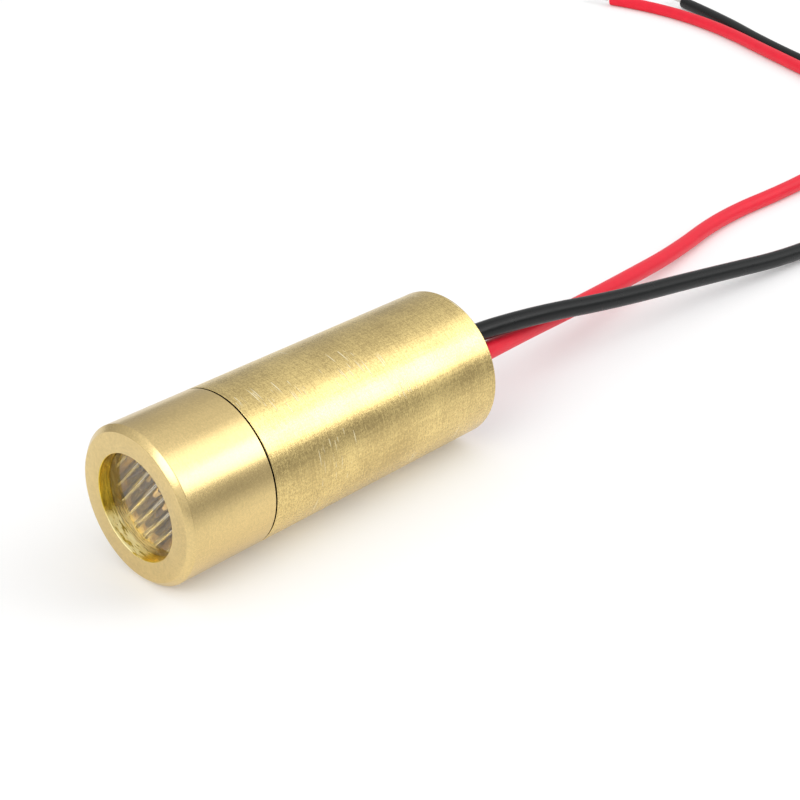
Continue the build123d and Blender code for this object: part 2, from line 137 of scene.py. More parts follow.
# Points of each wire, out of the potting and along the floor, as in the part's source
BLACK_ROUTE = (
    (-0.0005256, 0.00670, 0.0051998),
    (-0.0005256, 0.01350, 0.0051998),
    (-0.00014, 0.02040, 0.00457),
    (0.00049, 0.02800, 0.00331),
    (0.00094, 0.03760, 0.00203),
    (0.00205, 0.04936, 0.00060),
    (0.00202, 0.06201, 0.00060),
    (-0.00180, 0.07400, 0.00060),
    (-0.00928, 0.08354, 0.00060),
    (-0.01927, 0.08951, 0.00060),
    (-0.03065, 0.09446, 0.00060),
    (-0.03966, 0.09945, 0.00060),
    (-0.04657, 0.10228, 0.00060),
)
RED_ROUTE = (
    (0.0003592, 0.00670, 0.0039639),
    (0.0003592, 0.01350, 0.0039639),
    (-0.00104, 0.02040, 0.00305),
    (-0.00210, 0.02720, 0.00225),
    (-0.00337, 0.03440, 0.00151),
    (-0.00465, 0.04200, 0.00083),
    (-0.00653, 0.05100, 0.00060),
    (-0.00605, 0.06049, 0.00060),
    (-0.00665, 0.07000, 0.00060),
    (-0.01100, 0.07940, 0.00060),
    (-0.01837, 0.08750, 0.00060),
    (-0.02812, 0.09185, 0.00060),
    (-0.03798, 0.09647, 0.00060),
    (-0.04767, 0.09849, 0.00060),
    (-0.05330, 0.09762, 0.00060),
)

# Length of each wire's insulation
BLACK_LENGTH = 0.1218
RED_LENGTH = 0.1221


def length(name, description, default):
    """A size that a user may change, shown in the scene's units."""
    return FloatProperty(
        name=name, description=description, default=default, min=0.0, precision=5, unit="LENGTH"
    )


def rotation(name, description, degrees):
    """A turn that a user may change, given in degrees."""
    return FloatProperty(name=name, description=description, default=radians(degrees), subtype="ANGLE")


def light_level(name, description, default):
    """How bright a light is, which a user may change."""
    return FloatProperty(name=name, description=description, default=default, min=0.0)


def colour(name, description, default):
    """A linear colour that a user may change."""
    return FloatVectorProperty(
        name=name, description=description, default=default, min=0.0, max=1.0, subtype="COLOR"
    )


class ModuleSizes(bpy.types.PropertyGroup):
    """Sizes of the turned brass, the lens and the potting."""

    front_chamfer: length("Front chamfer", "Bevel round the front face", 0.33 * MM)
    rear_chamfer: length("Rear chamfer", "Bevel round the rear rim, outside and inside", 0.15 * MM)
    seam_gap: length("Seam gap", "Gap between the cap and the barrel", 0.08 * MM)
    seam_chamfer: length("Seam chamfer", "Edge break on both sides of the seam", 0.05 * MM)
    edge_break: length("Edge break", "Rounding of the turned corners", 0.03 * MM)
    aperture: length("Aperture", "Diameter of the front opening and lens seat", 6.0 * MM)
    aperture_edge: length("Aperture edge", "Edge break of the front opening", 0.06 * MM)
    beam_hole: length("Beam hole", "Diameter of the hole behind the lens seat", 4.4 * MM)
    socket: length("Socket", "Inside diameter of the cap behind its web", 7.2 * MM)
    spigot: length("Spigot", "Diameter of the barrel's neck in the cap", 7.18 * MM)
    spigot_chamfer: length("Spigot chamfer", "Bevel on the front of the neck", 0.15 * MM)
    cell_bore: length("Cell bore", "Bore that takes the collimator cell", 5.58 * MM)
    can_bore: length("Can bore", "Bore round the diode's can", 3.85 * MM)
    flange_bore: length("Flange bore", "Relief round the can's flange", 4.65 * MM)
    flange_recess: length("Flange recess", "Depth of that relief", 0.35 * MM)
    header_bore: length("Header bore", "Seat of the diode's header", 5.64 * MM)
    header_lip: length("Header lip", "How far the seat runs past the header", 0.2 * MM)
    chamber: length("Chamber", "Bore of the rear chamber", 7.4 * MM)
    lens: length("Lens", "Diameter of the ridged lens", 5.96 * MM)
    lens_edge: length("Lens edge", "Edge break of the lens's front", 0.05 * MM)
    ridge_pitch: length("Ridge pitch", "Distance from ridge to ridge", 0.78 * MM)
    ridge_height: length("Ridge height", "Height of a ridge over its valleys", 0.2 * MM)
    ridge_roll: rotation("Ridge roll", "Turn of the ridges about the axis, from upright", 43)
    potting: length("Potting", "Diameter of the epoxy plug", 7.38 * MM)
    potting_dish: length("Potting dish", "Depth of the plug's hollow rear face", 0.15 * MM)
    meniscus_rise: length("Meniscus rise", "How far the epoxy climbs each wire", 0.32 * MM)
    meniscus_reach: length("Meniscus reach", "How far from a wire that climb fades", 0.28 * MM)


class WireSizes(bpy.types.PropertyGroup):
    """Sizes of the two wires and of their stripped ends."""

    insulation: length("Insulation", "Outside diameter of a wire", 1.2 * MM)
    core: length("Core", "Diameter of the stranded core", 0.4 * MM)
    tip: length("Tip", "Length of the stripped outer end", 3.0 * MM)
    overlap: length("Overlap", "How far the strands reach into the insulation", 0.4 * MM)
    twist: rotation("Twist", "Turn of the strands over a tip", 400)
    strands: IntProperty(name="Strands", description="Strands round the middle one", default=6, min=3)


class ModuleColours(bpy.types.PropertyGroup):
    """Colours of the finishes that show, two of them darkened as painted shade inside the module."""

    cap_brass: colour("Cap brass", "Satin brass of the nose cap", (0.785, 0.598, 0.274))
    barrel_brass: colour("Barrel brass", "Brushed brass of the barrel", (0.805, 0.60, 0.253))
    bore_brass: colour("Bore brass", "Deep gold of the brass round the lens", (0.98, 0.72, 0.09))
    # Painted shade: the web deep behind the lens is given darker brass
    web_brass_painted_shade: colour("Web brass", "Shade-darkened brass behind the lens", (0.46, 0.37, 0.21))
    # Painted shade: the lens cell inside is given darker brass, so that little light shows on it
    cell_brass: colour("Cell brass", "Shade-painted brass inside", (0.50, 0.39, 0.20))
    acrylic: colour("Acrylic", "Tint of the ridged lens", (0.98, 0.88, 0.69))
    epoxy: colour("Epoxy", "Potting epoxy", (0.012, 0.012, 0.014))
    red_pvc: colour("Red PVC", "Insulation of the red wire", (0.84, 0.018, 0.042))
    black_pvc: colour("Black PVC", "Insulation of the black wire", (0.006, 0.0068, 0.007))
    tin: colour("Tin", "Tinned copper strands", (0.78, 0.77, 0.74))


class StageSettings(bpy.types.PropertyGroup):
    """Camera, floor and soft lights."""

    camera_place: FloatVectorProperty(
        name="Camera place",
        description="Where the camera stands",
        default=(0.059653, -0.053515, 0.049257),
        subtype="TRANSLATION",
        precision=5,
    )
    camera_tilt: rotation("Camera tilt", "Tilt up from straight down", 61.780)
    camera_turn: rotation("Camera turn", "Turn about the vertical", 44.117)
    camera_lens: FloatProperty(
        name="Camera lens",
        description="Focal length in millimetres",
        default=74.207,
        min=1.0,
        unit="CAMERA",
    )
    floor: colour("Floor", "White sheet that the module lies on", (0.98, 0.98, 0.98))
    room: light_level("Room", "Brightness of the room overhead", 1.0)
    softbox: light_level("Softbox", "Brightness of the side light", 2.2)
    fill: light_level("Fill", "Brightness of the front light", 2.5)


class Link:
    """A socket in a node tree. Arithmetic on it adds Math nodes."""

    def __init__(self, graph, socket):
        self.graph = graph
        self.socket = socket

    def other(self, name):
        """Another output of the same node."""
        return Link(self.graph, self.socket.node.outputs[name])

    def maths(self, operation, one, two):
        """A Math node on two numbers or sockets."""
        return self.graph.node(
            "ShaderNodeMath", {"operation": operation}, {"Value": one, "Value_001": two}
        )

    def __add__(self, other):
        return self.maths("ADD", self, other)

    __radd__ = __add__

    def __sub__(self, other):
        return self.maths("SUBTRACT", self, other)

    def __rsub__(self, other):
        return self.maths("SUBTRACT", other, self)

    def __mul__(self, other):
        return self.maths("MULTIPLY", self, other)

    __rmul__ = __mul__

    def __truediv__(self, other):
        return self.maths("DIVIDE", self, other)

    def __rtruediv__(self, other):
        return self.maths("DIVIDE", other, self)

    def __gt__(self, other):
        return self.maths("GREATER_THAN", self, other)

    def __lt__(self, other):
        return self.maths("LESS_THAN", self, other)

    def __abs__(self):
        return self.graph.node("ShaderNodeMath", {"operation": "ABSOLUTE"}, {"Value": self})


class Graph:
    """The node tree of a material or of the world, built from its sockets."""

    def __init__(self, owner):
        owner.use_nodes = True
        self.owner = owner
        self.tree = owner.node_tree
        self.tree.nodes.clear()

    def node(self, kind, settings=None, sockets=None, output=0):
        """Adds a node: its settings first, then the values or links of its sockets."""
        node = self.tree.nodes.new(kind)
        for name, value in (settings or {}).items():
            if name == "stops":
                self.set_stops(node.color_ramp, value)
            else:
                setattr(node, name, value)
        for name, value in (sockets or {}).items():
            socket = next(s for s in node.inputs if name in (s.identifier, s.name) and s.enabled)
            if isinstance(value, Link):
                self.tree.links.new(value.socket, socket)
            else:
                socket.default_value = value
        made = node.outputs[output] if len(node.outputs) else None
        return Link(self, made)

    @staticmethod
    def set_stops(ramp, stops):
        """Gives a colour ramp its grey stops, as pairs of position and level."""
        while len(ramp.elements) < len(stops):
            ramp.elements.new(1.0)
        for element, (position, level) in zip(ramp.elements, stops):
            element.position = position
            element.color = (level, level, level, 1.0)

    def place(self, scale=(1.0, 1.0, 1.0), shift=(0.0, 0.0, 0.0)):
        """Object coordinates, stretched by a scale and then shifted."""
        where = self.node("ShaderNodeTexCoord", output="Object")
        return self.node(
            "ShaderNodeMapping",
            {"vector_type": "POINT"},
            {"Vector": where, "Scale": scale, "Location": shift},
        )

    def component(self, axis, vector):
        """One of a vector's three parts."""
        return self.node("ShaderNodeSeparateXYZ", {}, {"Vector": vector}, axis)

    def measure(self, operation, *vectors):
        """The number that a Vector Math operation gives for one vector or two."""
        sockets = dict(zip(("Vector", "Vector_001"), vectors))
        return self.node("ShaderNodeVectorMath", {"operation": operation}, sockets, "Value")

    def radius(self):
        """Distance from the module's axis."""
        return self.measure("LENGTH", self.place((1, 0, 1), -AXIS_POINT))

    def cells(self, scale):
        """Distance to the nearest of scattered points, with a scale for each axis as noise has."""
        return self.node(
            "ShaderNodeTexVoronoi",
            {"voronoi_dimensions": "3D", "feature": "F1"},
            {"Vector": self.place(scale), "Scale": 1.0},
            "Distance",
        )

    def noise(self, scale, detail=2.0, roughness=0.5):
        """Noise from 0 to 1 over Object coordinates, with a scale for each axis in features a metre."""
        return self.node(
            "ShaderNodeTexNoise",
            {"noise_dimensions": "3D", "normalize": True},
            {"Vector": self.place(scale), "Scale": 1.0, "Detail": detail, "Roughness": roughness},
        )

    def blend(self, factor, one, two, kind="MIX"):
        """A colour between two colours, or another kind of blend of them."""
        return self.node(
            "ShaderNodeMix",
            {"data_type": "RGBA", "blend_type": kind, "clamp_factor": True},
            {"Factor_Float": factor, "A_Color": one, "B_Color": two},
            "Result",
        )

    def ramp(self, stops, position):
        """The grey level of a colour ramp at a position from 0 to 1."""
        return self.node("ShaderNodeValToRGB", {"stops": stops}, {"Fac": position}, "Color")

    def mapped(self, value, low, high, new_low=0.0, new_high=1.0):
        """A value moved from one range to another and held within it."""
        return self.node(
            "ShaderNodeMapRange",
            {"clamp": True, "interpolation_type": "SMOOTHSTEP"},
            {"Value": value, "From Min": low, "From Max": high, "To Min": new_low, "To Max": new_high},
        )

    def bump(self, height, depth):
        """A normal that follows a height from 0 to 1 over a depth in metres."""
        return self.node(
            "ShaderNodeBump", {}, {"Height": height, "Distance": depth, "Strength": 1.0}, "Normal"
        )

    def principled(self, **sockets):
        """The main shader, with sockets named in words joined by underscores."""
        named = {name.replace("_", " "): value for name, value in sockets.items()}
        return self.node("ShaderNodeBsdfPrincipled", {}, named, "BSDF")

    def mix_shaders(self, factor, one, two):
        """A shader between two shaders."""
        sockets = {"Fac": factor, "Shader": one, "Shader_001": two}
        return self.node("ShaderNodeMixShader", {}, sockets, "Shader")

    def surface(self, shader):
        """Ends the tree with its output and gives back what it belongs to."""
        of_world = isinstance(self.owner, bpy.types.World)
        kind = "ShaderNodeOutputWorld" if of_world else "ShaderNodeOutputMaterial"
        self.node(kind, {}, {"Surface": shader})
        return self.owner


def opaque(rgb):
    """A colour with full alpha, as colour sockets take it."""
    return (*rgb, 1.0)


def shade(rgb, factor):
    """A colour made lighter or darker by a factor."""
    return opaque(min(channel * factor, 1.0) for channel in rgb)


def on_surface(station, angle):
    """A point on the outside of the module, by its place along the axis and round it."""
    return (BODY_RADIUS * cos(angle), station, BODY_RADIUS * (1 + sin(angle)))


def turned_brass(name, rgb, roughness, line_share, contrast, worn_places=(), lining=None, seam=None):
    """Brass off the lathe: rings and lines, fine grain, and scratches at worn places, with a painted glint
    on the scratches.

    line_share is how much of the texture is lines, the rest is grain. contrast is how strong it is.
    lining is the radius inside which the brass is that of the aperture, and its two colours, the second
    darkened as painted shade on the web behind the lens.
    seam is the station of the painted shade in the seam, and its reach along the axis.
    """
    graph = Graph(bpy.data.materials.new(name))
    rings = graph.noise(RINGS, 3.0, 0.65)
    hairlines = graph.noise(HAIRLINES, 2.0, 0.6)
    grain = graph.noise(FINE_GRAIN, 4.0, 0.8)
    draw_lines = graph.noise(DRAW_LINES, 2.0, 0.6)
    cloud = graph.noise(BRASS_CLOUD, 3.0, 0.55)
    lines = rings * 0.3 + hairlines * 0.4 + draw_lines * 0.3
    texture = lines * line_share + grain * (1 - line_share)
    tone = texture * 0.75 + cloud * 0.25
    dull = shade(rgb, 1 - BRASS_TONE * contrast)
    bright = shade(rgb, 1 + BRASS_TONE * contrast)
    metal = graph.blend(graph.mapped(tone, 0.40, 0.60), dull, bright)
    rough = roughness + (texture - 0.5) * (BRASS_ROUGHNESS * contrast) + (cloud - 0.5) * 0.10
    height = texture
    metallic = 1.0
    if worn_places:
        scratches = scratch_mask(graph, worn_places)
        # Painted highlight: the scratches, which are real wear, are painted lighter as a glint
        metal = graph.blend(scratches * 0.9, metal, opaque(SCRATCH_PAINTED_GLINT))
        metallic = 1 - scratches * 0.4
        rough = rough + scratches * 0.12
        height = texture - scratches
    if lining:
        inside = graph.radius() < lining[0]
        inner_metal, painted_light = aperture_lining(graph, *lining)
        metal = graph.blend(inside, metal, inner_metal)
        # Painted light: the lighter streaks in the bore are also made rougher and less metallic
        rough = rough + inside * (painted_light * 0.25 - 0.04)
        metallic = 1 - inside * painted_light * 0.8
        height = height + inside * rings * 3.0
    if seam:
        middle, reach = seam
        in_gap = abs(graph.component("Y", graph.place()) - middle) < reach
        # Painted shade: the gap and the inner edges of its chamfers are painted dark, where shade falls
        # between the cap and the barrel
        seam_shade = in_gap * (graph.radius() < BODY_RADIUS - reach / 4)
        metal = graph.blend(seam_shade, metal, opaque(SEAM_PAINTED_SHADE))
    shader = graph.principled(
        Base_Color=metal,
        Metallic=metallic,
        Roughness=rough,
        Normal=graph.bump(height, contrast * BRASS_DEPTH),
    )
    return graph.surface(shader)


def aperture_lining(graph, radius, bore_rgb, web_painted_shade_rgb):
    """Colour of the brass round the lens, with painted shade behind the lens front and on the web, and
    where streaks of painted light lie on it, low on the left.
    """
    where = graph.place((1, 1, 1), -AXIS_POINT)
    streaks = graph.noise(BORE_STREAKS, 4.0, 0.7)
    gold = graph.blend(graph.mapped(streaks, 0.36, 0.64), shade(bore_rgb, 0.72), shade(bore_rgb, 1.02))
    # Painted shade: behind the lens front the bore is painted dark
    gold = graph.blend(graph.component("Y", where) > LENS_FRONT, gold, opaque(BORE_PAINTED_SHADE))
    # Painted shade: the web behind the lens takes its darkened colour
    gold = graph.blend(graph.radius() < radius * WEB_SHARE, gold, opaque(web_painted_shade_rgb))
    # Painted light: streaks low on the left of the bore are painted lighter, standing in for light falling
    # there
    low_left = graph.measure("DOT_PRODUCT", where, LOW_LEFT / radius)
    painted_light = graph.mapped(low_left, 0.76, 0.95) * graph.mapped(streaks, 0.36, 0.54)
    return graph.blend(painted_light, gold, opaque(BORE_PAINTED_LIGHT)), painted_light


def scratch_mask(graph, worn_places):
    """Short scratches round the axis: a few everywhere, and more near the worn places."""
    cells = graph.cells(SCRATCH_CELLS)
    chance = graph.node("ShaderNodeSeparateColor", {}, {"Color": cells.other("Color")}, "Red")
    where = graph.node("ShaderNodeTexCoord", output="Object")
    worn = 0.0
    for station, angle, reach in worn_places:
        gap = graph.measure("DISTANCE", where, on_surface(station, angle))
        worn = worn + graph.mapped(gap, 0.0, reach, 1.0, 0.0)
    kept = chance > (1 - SCRATCHED_ANYWHERE) - worn * SCRATCHED_WHERE_WORN
    return kept * graph.mapped(cells, 0.25, 0.6, 1.0, 0.0)


def plated_metal(name, rgb, roughness, grain_size):
    """Drawn or plated metal with an even fine grain."""
    graph = Graph(bpy.data.materials.new(name))
    grain = graph.noise((1 / grain_size,) * 3, 3.0, 0.6)
    cloud = graph.noise(PLATING_CLOUD)
    metal = graph.blend(grain * 0.6 + cloud * 0.4, shade(rgb, 0.85), shade(rgb, 1.12))
    shader = graph.principled(
        Base_Color=metal,
        Metallic=1.0,
        Roughness=roughness + (cloud - 0.5) * 0.15,
        Normal=graph.bump(grain, grain_size * 0.02),
    )
    return graph.surface(shader)


def moulded(name, rgb, roughness, grain_size, coat=0.0):
    """Moulded plastic, ceramic or resin with a faint grain."""
    graph = Graph(bpy.data.materials.new(name))
    grain = graph.noise((1 / grain_size,) * 3, 3.0, 0.6)
    cloud = graph.noise(MOULDED_CLOUD)
    body = graph.blend(cloud, shade(rgb, 0.85), shade(rgb, 1.15))
    shader = graph.principled(
        Base_Color=body,
        Roughness=roughness + (grain - 0.5) * 0.16,
        Coat_Weight=coat,
        Normal=graph.bump(grain, grain_size * 0.03),
    )
    return graph.surface(shader)


def clear_optic(name, rgb, roughness, ior, clarity=1.0, glued_radius=None):
    """Clear moulded optic that lets the lamps through to what is behind it.

    Beyond the glued radius, where there is one, its edge is lost in clear cement.
    """
    graph = Graph(bpy.data.materials.new(name))
    smears = graph.noise(OPTIC_SMEARS, 3.0, 0.6)
    shader = graph.principled(
        Base_Color=opaque(rgb),
        Roughness=roughness + graph.mapped(smears, 0.5, 0.8) * 0.06,
        Transmission_Weight=clarity,
        IOR=ior,
        Alpha=graph.radius() < glued_radius if glued_radius else 1.0,
    )
    lamp_ray = graph.node("ShaderNodeLightPath", output="Is Shadow Ray")
    through = graph.node("ShaderNodeBsdfTransparent", {}, {"Color": opaque(rgb)})
    return graph.surface(graph.mix_shaders(lamp_ray, shader, through))


def insulation(name, rgb, roughness, shine):
    """Soft PVC with a dull skin and faint handling marks."""
    graph = Graph(bpy.data.materials.new(name))
    skin = graph.noise(PVC_SKIN, 2.0, 0.6)
    marks = graph.noise(PVC_MARKS, 4.0, 0.6)
    body = graph.blend(marks, shade(rgb, 0.88), shade(rgb, 1.12))
    shader = graph.principled(
        Base_Color=body,
        Roughness=roughness + (marks - 0.5) * 0.22,
        Specular_IOR_Level=shine,
        Normal=graph.bump(skin * 0.4 + marks * 0.6, 0.012 * MM),
    )
    return graph.surface(shader)


def potting_epoxy(name, rgb):
    """Poured black epoxy with a few burst bubbles and a dusty bloom."""
    graph = Graph(bpy.data.materials.new(name))
    pits = graph.mapped(graph.cells(EPOXY_BUBBLES), 0.10, 0.22, 1.0, 0.0)
    bloom = graph.noise(EPOXY_BLOOM, 4.0, 0.65)
    shader = graph.principled(
        Base_Color=graph.blend(graph.mapped(bloom, 0.45, 0.8), opaque(rgb), shade(rgb, 3.0)),
        Roughness=0.16 + graph.mapped(bloom, 0.4, 0.75) * 0.25,
        Normal=graph.bump(bloom * 0.3 - pits * 0.7, 0.04 * MM),
    )
    return graph.surface(shader)


def spin_round(bm, steps):
    """Spins a bmesh a full turn about the module's axis, and merges what meets."""
    bmesh.ops.spin(
        bm,
        geom=bm.verts[:] + bm.edges[:],
        cent=AXIS_POINT,
        axis=(0, 1, 0),
        dvec=(0, 0, 0),
        angle=tau,
        steps=steps,
        use_merge=True,
    )
    bmesh.ops.remove_doubles(bm, verts=bm.verts, dist=MERGE_DISTANCE)


def turned(section):
    """A bmesh turned about the module's axis from the corners of its closed section."""
    bm = bmesh.new()
    corners = [bm.verts.new((radius, station, BODY_RADIUS)) for radius, station in section]
    for one, two in zip(corners, corners[1:] + corners[:1]):
        bm.edges.new((one, two))
    spin_round(bm, TURN_STEPS)
    bmesh.ops.recalc_face_normals(bm, faces=bm.faces)
    return bm


def break_rims(bm, rims, width, segments):
    """Bevels the circular edges at each radius and station."""
    edges = []
    for edge in bm.edges:
        ends = [((v.co - AXIS_POINT).xz.length, v.co.y) for v in edge.verts]
        for radius, station in rims:
            if all(abs(r - radius) < SAME_PLACE and abs(y - station) < SAME_PLACE for r, y in ends):
                edges.append(edge)
    if not edges:
        raise ValueError(f"no edge lies on any of the rims {rims}")
    bevel_edges(bm, edges, width, segments)


def bevel_edges(bm, edges, width, segments):
    """Bevels edges evenly, over a number of segments."""
    bmesh.ops.bevel(
        bm,
        geom=edges,
        offset=width,
        offset_type="OFFSET",
        affect="EDGES",
        segments=segments,
        profile=0.5,
        material=-1,
    )


def vertices(parts):
    """The vertices among the parts that a bmesh operator gives back."""
    return [part for part in parts if isinstance(part, bmesh.types.BMVert)]


def fill_openings(bm):
    """Closes each open loop of a bmesh with a face."""
    open_edges = [edge for edge in bm.edges if edge.is_boundary]
    bmesh.ops.holes_fill(bm, edges=open_edges, sides=0)


def seam_place(sizes):
    """Station of the middle of the seam, and how far its painted shade reaches along the axis."""
    return (CAP_REAR + sizes.seam_gap / 2, sizes.seam_gap)


def add_piece(name, bm, finish, node):
    """Makes a finished piece of a bmesh, which rides on the module and stands for a CAD node."""
    bmesh.ops.remove_doubles(bm, verts=bm.verts, dist=MERGE_DISTANCE)
    bmesh.ops.recalc_face_normals(bm, faces=bm.faces)
    mesh = bpy.data.meshes.new(name)
    bm.to_mesh(mesh)
    bm.free()
    mesh.polygons.foreach_set("use_smooth", [True] * len(mesh.polygons))
    mesh.set_sharp_from_angle(angle=SHARP_ANGLE)
    mesh.materials.append(finish)
    piece = bpy.data.objects.new(name, mesh)
    bpy.context.scene.collection.objects.link(piece)
    flat_faces = piece.modifiers.new("Flat faces stay flat", "WEIGHTED_NORMAL")
    flat_faces.keep_sharp = True
    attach(piece, BODY)
    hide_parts(node)
    return piece


class LASER_OT_nose_cap(bpy.types.Operator):
    """Turn the nose cap with its aperture, lens seat and socket"""

    bl_idname = "laser_module.nose_cap"
    bl_label = "Nose Cap"

    def execute(self, context):
        sizes = context.scene.module_sizes
        aperture, beam, socket = sizes.aperture / 2, sizes.beam_hole / 2, sizes.socket / 2
        bm = turned([
            (aperture, FRONT),
            (BODY_RADIUS, FRONT),
            (BODY_RADIUS, CAP_REAR),
            (socket, CAP_REAR),
            (socket, SPIGOT_FRONT),
            (beam, SPIGOT_FRONT),
            (beam, LENS_REAR),
            (aperture, LENS_REAR),
        ])
        break_rims(bm, [(BODY_RADIUS, FRONT)], sizes.front_chamfer, CHAMFERED)
        bevel_rims = [
            (BODY_RADIUS - sizes.front_chamfer, FRONT),
            (BODY_RADIUS, FRONT + sizes.front_chamfer),
        ]
        break_rims(bm, bevel_rims, sizes.edge_break, ROUNDED)
        break_rims(bm, [(aperture, FRONT)], sizes.aperture_edge, ROUNDED)
        break_rims(bm, [(BODY_RADIUS, CAP_REAR)], sizes.seam_chamfer, ROUNDED)
        colours = context.scene.module_colours
        lining = (aperture + sizes.aperture_edge / 2, colours.bore_brass, colours.web_brass_painted_shade)
        brass = turned_brass(
            "Satin brass",
            colours.cap_brass,
            roughness=0.24,
            line_share=0.3,
            contrast=0.5,
            lining=lining,
            seam=seam_place(sizes),
        )
        add_piece("turned_nose_cap", bm, brass, "nose_cap")
        return {"FINISHED"}


class LASER_OT_barrel(bpy.types.Operator):
    """Turn the barrel with its neck, bores, diode seat and rear chamber"""

    bl_idname = "laser_module.barrel"
    bl_label = "Barrel"

    # Station, turn round the axis and reach of each place with scratches
    WORN_PLACES = (
        (FRONT + 7.2 * MM, radians(66), 2.0 * MM),
        (FRONT + 9.6 * MM, radians(62), 1.1 * MM),
        (FRONT + 10.2 * MM, radians(6), 1.8 * MM),
        (FRONT + 13.2 * MM, radians(64), 1.7 * MM),
        (FRONT + 14.6 * MM, radians(60), 1.3 * MM),
        (FRONT + 16.2 * MM, radians(32), 1.1 * MM),
    )

    def execute(self, context):
        sizes = context.scene.module_sizes
        cell, spigot, can = sizes.cell_bore / 2, sizes.spigot / 2, sizes.can_bore / 2
        flange, header, chamber = sizes.flange_bore / 2, sizes.header_bore / 2, sizes.chamber / 2
        shoulder = CAP_REAR + sizes.seam_gap
        seat_rear = HEADER_REAR + sizes.header_lip
        relief = HEADER_FRONT - sizes.flange_recess
        bm = turned([
            (cell, SPIGOT_FRONT),
            (spigot, SPIGOT_FRONT),
            (spigot, shoulder),
            (BODY_RADIUS, shoulder),
            (BODY_RADIUS, REAR),
            (chamber, REAR),
            (chamber, seat_rear),
            (header, seat_rear),
            (header, HEADER_FRONT),
            (flange, HEADER_FRONT),
            (flange, relief),
            (can, relief),
            (can, SPRING_REAR),
            (cell, SPRING_REAR),
        ])
        rear_bevel = sizes.rear_chamfer
        break_rims(bm, [(spigot, SPIGOT_FRONT)], sizes.spigot_chamfer, CHAMFERED)
        break_rims(bm, [(BODY_RADIUS, shoulder)], sizes.seam_chamfer, ROUNDED)
        break_rims(bm, [(BODY_RADIUS, REAR), (chamber, REAR)], rear_bevel, CHAMFERED)
        bevel_rims = [
            (BODY_RADIUS, REAR - rear_bevel),
            (BODY_RADIUS - rear_bevel, REAR),
            (chamber + rear_bevel, REAR),
            (chamber, REAR - rear_bevel),
        ]
        break_rims(bm, bevel_rims, sizes.edge_break, ROUNDED)
        brass = turned_brass(
            "Brushed brass",
            context.scene.module_colours.barrel_brass,
            roughness=0.27,
            line_share=0.42,
            contrast=1.75,
            worn_places=self.WORN_PLACES,
            seam=seam_place(sizes),
        )
        add_piece("turned_barrel", bm, brass, "barrel")
        return {"FINISHED"}


class LASER_OT_line_lens(bpy.types.Operator):
    """Mould the ridged lens: a bar of ridges, cut round"""

    bl_idname = "laser_module.line_lens"
    bl_label = "Line Lens"

    # Width of the cement round the lens
    CEMENT = 0.01 * MM

    def execute(self, context):
        sizes = context.scene.module_sizes
        bm = self.ridged_bar(sizes)
        self.cut_round(bm, sizes.lens / 2)
        front_rim = [
            edge
            for edge in bm.edges
            if all(abs(vert.co.y - LENS_FRONT) < SAME_PLACE for vert in edge.verts)
        ]
        bevel_edges(bm, front_rim, sizes.lens_edge, EASED)
        acrylic = clear_optic(
            "Clear acrylic",
            context.scene.module_colours.acrylic,
            roughness=0.02,
            ior=1.49,
            clarity=0.96,
            glued_radius=sizes.lens / 2 - self.CEMENT,
        )
        add_piece("ridged_lens", bm, acrylic, "line_lens")
        return {"FINISHED"}

    def ridged_bar(self, sizes):
        """A bar across the axis with a flat front, and ridges on its rear at their roll."""
        half = sizes.ridge_pitch / 2
        arc = (half**2 + sizes.ridge_height**2) / (2 * sizes.ridge_height)
        count = 1 + 2 * ceil((sizes.lens / sizes.ridge_pitch - 1) / 2)
        edge = count * half
        bm = bmesh.new()
        first = bm.verts.new((-edge, LENS_REAR - sizes.ridge_height, 0))
        last = first
        for number in range(count):
            crest = (2 * number + 1) * half - edge
            made = bmesh.ops.spin(
                bm,
                geom=[last],
                cent=(crest, LENS_REAR - arc, 0),
                axis=(0, 0, 1),
                dvec=(0, 0, 0),
                angle=-2 * asin(half / arc),
                steps=RIDGE_STEPS,
            )
            last = vertices(made["geom_last"])[0]
        right = bm.verts.new((edge, LENS_FRONT, 0))
        left = bm.verts.new((-edge, LENS_FRONT, 0))
        for ends in ((last, right), (right, left), (left, first)):
            bm.edges.new(ends)
        bmesh.ops.contextual_create(bm, geom=bm.edges[:])
        bmesh.ops.translate(bm, verts=bm.verts, vec=(0, 0, -edge))
        made = bmesh.ops.extrude_face_region(bm, geom=bm.faces[:], use_keep_orig=True)
        bmesh.ops.translate(bm, verts=vertices(made["geom"]), vec=(0, 0, 2 * edge))
        roll = Matrix.Rotation(sizes.ridge_roll, 4, "Y")
        bmesh.ops.transform(bm, verts=bm.verts, matrix=Matrix.Translation(AXIS_POINT) @ roll)
        return bm

    def cut_round(self, bm, radius):
        """Cuts a bar to a disc about the axis, and closes each cut."""
        for number in range(LENS_CUTS):
            angle = tau * number / LENS_CUTS
            outwards = Vector((cos(angle), 0, sin(angle)))
            bmesh.ops.bisect_plane(
                bm,
                geom=bm.verts[:] + bm.edges[:] + bm.faces[:],
                dist=MERGE_DISTANCE,
                plane_co=AXIS_POINT + outwards * radius,
                plane_no=outwards,
                clear_outer=True,
            )
            fill_openings(bm)


